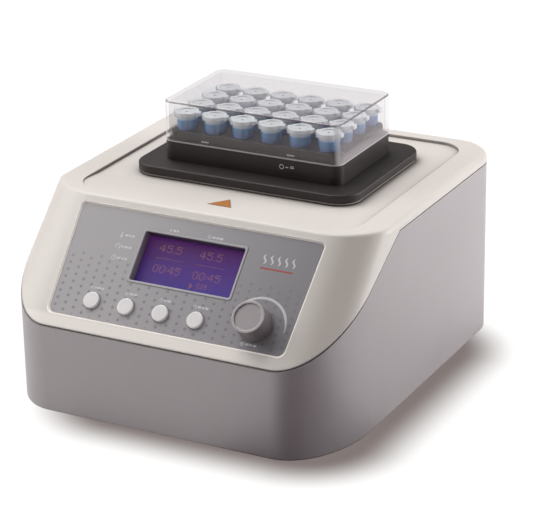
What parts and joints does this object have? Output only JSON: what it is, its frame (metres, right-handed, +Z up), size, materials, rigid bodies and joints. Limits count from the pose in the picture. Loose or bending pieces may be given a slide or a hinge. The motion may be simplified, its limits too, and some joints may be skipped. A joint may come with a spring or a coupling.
{
  "type": "dry block heater shaker",
  "caption": "Benchtop dry block heater: sloped control panel with display, keys and press-turn knob, orbiting heated platform, lift-off tube block, capped tubes and clear lid.",
  "frame": {"origin": "centre of the footprint on the table, under the rubber feet", "axes": "+X to the right seen from the front, +Y towards the rear, +Z up; the control slope faces -Y"},
  "size_m": [0.22, 0.244, 0.1627],
  "materials": {
    "housing_grey": "satin",
    "cover_white": "satin",
    "sheet_steel": "brushed",
    "rubber": "matte",
    "screw_steel": "satin",
    "panel_grey": "matte",
    "bezel_grey": "satin",
    "clear_window": "gloss",
    "lcd": "gloss",
    "dark_metal": "satin",
    "board_green": "satin",
    "knob_grey": "satin",
    "black_plastic": "satin",
    "brass": "satin",
    "port_metal": "gloss",
    "chrome_wire": "gloss",
    "aluminium": "satin",
    "bearing_steel": "gloss",
    "psu_steel": "satin",
    "marker_orange": "matte",
    "ceramic_white": "matte",
    "foam": "matte",
    "plate_black": "satin",
    "block_black": "anodised black",
    "tube_clear": "satin",
    "cap_clear": "satin",
    "lid_clear": "gloss",
    "button_white": "gloss"
  },
  "bodies": {
    "casing": {"ball_bearings": "bearing_steel", "base_plate": "sheet_steel", "bearing_housings": "aluminium", "case_screws": "screw_steel", "chassis_pillars": "aluminium", "chassis_plate": "sheet_steel", "chassis_screws": "screw_steel", "control_board": "board_green", "data_port": "port_metal", "display_bezel": "bezel_grey", "display_window": "clear_window", "encoder_body": "dark_metal", "encoder_nut": "screw_steel", "fan_frame": "black_plastic", "fan_guard": "chrome_wire", "fan_screws": "screw_steel", "foot_screws": "screw_steel", "fuse_drawer": "black_plastic", "heat_marker": "marker_orange", "inlet_pins": "brass", "lcd_backlight": "dark_metal", "lcd_glass": "lcd", "lower_housing": "housing_grey", "main_board": "board_green", "motor_body": "dark_metal", "panel_overlay": "panel_grey", "power_inlet": "black_plastic", "power_supply": "psu_steel", "rear_panel": "sheet_steel", "rubber_feet": "rubber", "switch_body": "black_plastic", "upper_cover": "cover_white"},
    "drive_shaft": {"eccentric_shaft": "bearing_steel", "counterweight": "brass"},
    "platform": {"platform_tray": "aluminium", "platform_bearing": "bearing_steel", "heat_sink": "aluminium", "peltier_modules": "ceramic_white", "thermal_plate": "aluminium", "temperature_sensor": "screw_steel", "insulation_sleeve": "foam", "platform_plate": "plate_black"},
    "block": {"tube_block": "block_black"},
    "tubes": {"sample_tubes": "tube_clear", "tube_caps": "cap_clear"},
    "lid_body": {"lid": "lid_clear"},
    "encoder_press": {"encoder_plunger": "screw_steel"},
    "knob_body": {"encoder_shaft": "screw_steel", "knob": "knob_grey"},
    "rocker": {"power_rocker": "black_plastic"},
    "fan_wheel": {"fan_rotor": "black_plastic"},
    "idler_1": {"idler_crank_1": "bearing_steel"},
    "idler_2": {"idler_crank_2": "bearing_steel"},
    "idler_3": {"idler_crank_3": "bearing_steel"},
    "idler_4": {"idler_crank_4": "bearing_steel"},
    "button_1_body": {"button_1": "button_white"},
    "button_2_body": {"button_2": "button_white"},
    "button_3_body": {"button_3": "button_white"},
    "button_4_body": {"button_4": "button_white"}
  },
  "joints": [
    {"name": "drive_spin", "type": "hinge", "parent": "casing", "child": "drive_shaft", "pos_m": [0, 0.0337, 0.05], "axis": [0, 0, 1], "continuous": true},
    {"name": "platform_orbit", "type": "hinge", "parent": "drive_shaft", "child": "platform", "pos_m": [0.0015, 0.0337, 0.062], "axis": [0, 0, 1], "continuous": true},
    {"name": "idler_1_spin", "type": "hinge", "parent": "casing", "child": "idler_1", "pos_m": [-0.072, -0.0123, 0.05], "axis": [0, 0, 1], "continuous": true},
    {"name": "idler_2_spin", "type": "hinge", "parent": "casing", "child": "idler_2", "pos_m": [-0.072, 0.0797, 0.05], "axis": [0, 0, 1], "continuous": true},
    {"name": "idler_3_spin", "type": "hinge", "parent": "casing", "child": "idler_3", "pos_m": [0.072, -0.0123, 0.05], "axis": [0, 0, 1], "continuous": true},
    {"name": "idler_4_spin", "type": "hinge", "parent": "casing", "child": "idler_4", "pos_m": [0.072, 0.0797, 0.05], "axis": [0, 0, 1], "continuous": true},
    {"name": "block_lift", "type": "slide", "parent": "platform", "child": "block", "axis": [0, 0, 1], "range_m": [0, 0.06]},
    {"name": "tubes_lift", "type": "slide", "parent": "block", "child": "tubes", "axis": [0, 0, 1], "range_m": [0, 0.045]},
    {"name": "lid_lift", "type": "slide", "parent": "tubes", "child": "lid_body", "axis": [0, 0, 1], "range_m": [0, 0.05]},
    {"name": "encoder_push", "type": "slide", "parent": "casing", "child": "encoder_press", "axis": [0, 0.7226, -0.6912], "range_m": [0, 0.0006]},
    {"name": "knob_turn", "type": "hinge", "parent": "encoder_press", "child": "knob_body", "pos_m": [0.057, -0.10812, 0.07974], "axis": [0, -0.7226, 0.6912], "continuous": true},
    {"name": "power_switch", "type": "hinge", "parent": "casing", "child": "rocker", "pos_m": [0.014, 0.1127, 0.034], "axis": [1, 0, 0], "range_deg": [0, 14]},
    {"name": "fan_spin", "type": "hinge", "parent": "casing", "child": "fan_wheel", "pos_m": [-0.046, 0.106, 0.045], "axis": [0, 1, 0], "continuous": true},
    {"name": "button_1_press", "type": "slide", "parent": "casing", "child": "button_1_body", "axis": [0, 0.7226, -0.6912], "range_m": [0, 0.0008]},
    {"name": "button_2_press", "type": "slide", "parent": "casing", "child": "button_2_body", "axis": [0, 0.7226, -0.6912], "range_m": [0, 0.0008]},
    {"name": "button_3_press", "type": "slide", "parent": "casing", "child": "button_3_body", "axis": [0, 0.7226, -0.6912], "range_m": [0, 0.0008]},
    {"name": "button_4_press", "type": "slide", "parent": "casing", "child": "button_4_body", "axis": [0, 0.7226, -0.6912], "range_m": [0, 0.0008]}
  ],
  "couplings": [
    {"joint": "platform_orbit", "follows": "drive_spin", "ratio": -1},
    {"joint": "idler_1_spin", "follows": "drive_spin", "ratio": 1},
    {"joint": "idler_2_spin", "follows": "drive_spin", "ratio": 1},
    {"joint": "idler_3_spin", "follows": "drive_spin", "ratio": 1},
    {"joint": "idler_4_spin", "follows": "drive_spin", "ratio": 1}
  ]
}
